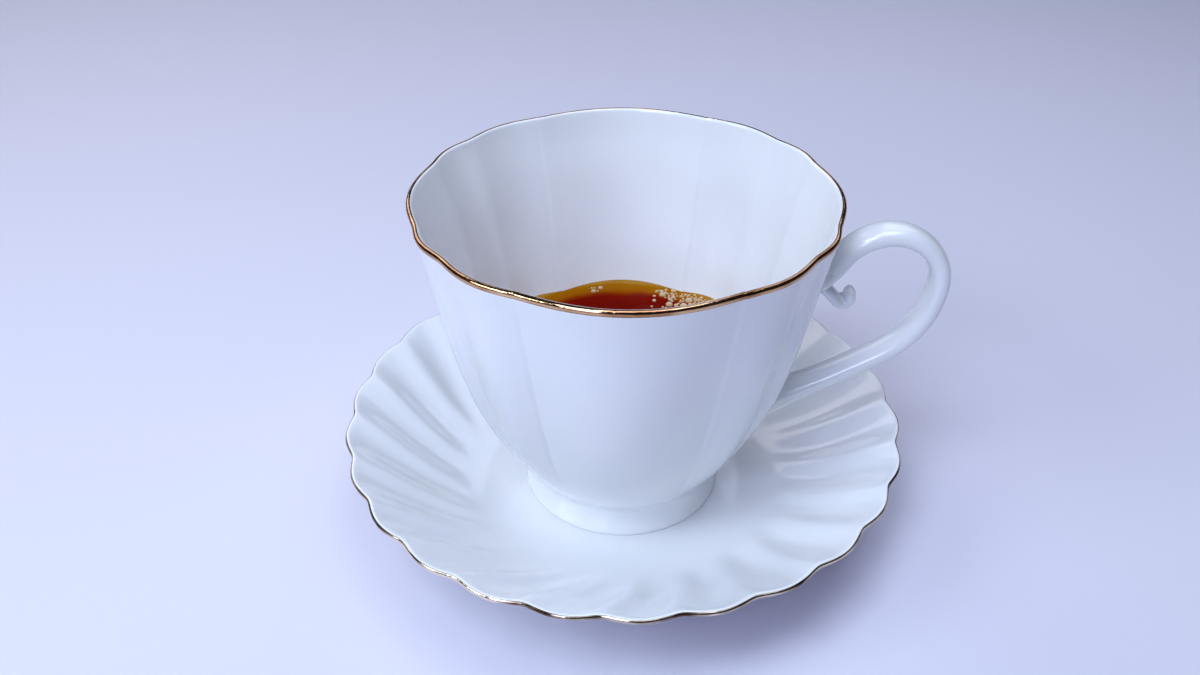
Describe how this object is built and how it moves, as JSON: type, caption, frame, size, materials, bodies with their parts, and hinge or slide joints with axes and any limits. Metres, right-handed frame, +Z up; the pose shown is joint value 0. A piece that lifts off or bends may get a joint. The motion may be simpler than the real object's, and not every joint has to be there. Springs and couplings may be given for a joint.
{
  "type": "cup of black tea on a saucer",
  "caption": "Fluted porcelain teacup with a scrolled handle, part filled with black tea, standing on a scalloped saucer; gold line on lip and edge.",
  "frame": {"origin": "centre of the saucer's foot ring, on the table", "axes": "+Z up along the cup's axis, +X towards the cup's handle"},
  "size_m": [0.1471, 0.1402, 0.0877],
  "materials": {
    "saucer_porcelain": "white porcelain under a clear gloss glaze",
    "cup_porcelain": "white porcelain under a clear gloss glaze",
    "gilding": "burnished gold line fired on lip and edge",
    "tea": "clear dark red-brown liquid, amber where it is thin"
  },
  "bodies": {
    "root": {"saucer": "saucer_porcelain", "cup": "cup_porcelain", "tea": "tea"}
  },
  "joints": []
}
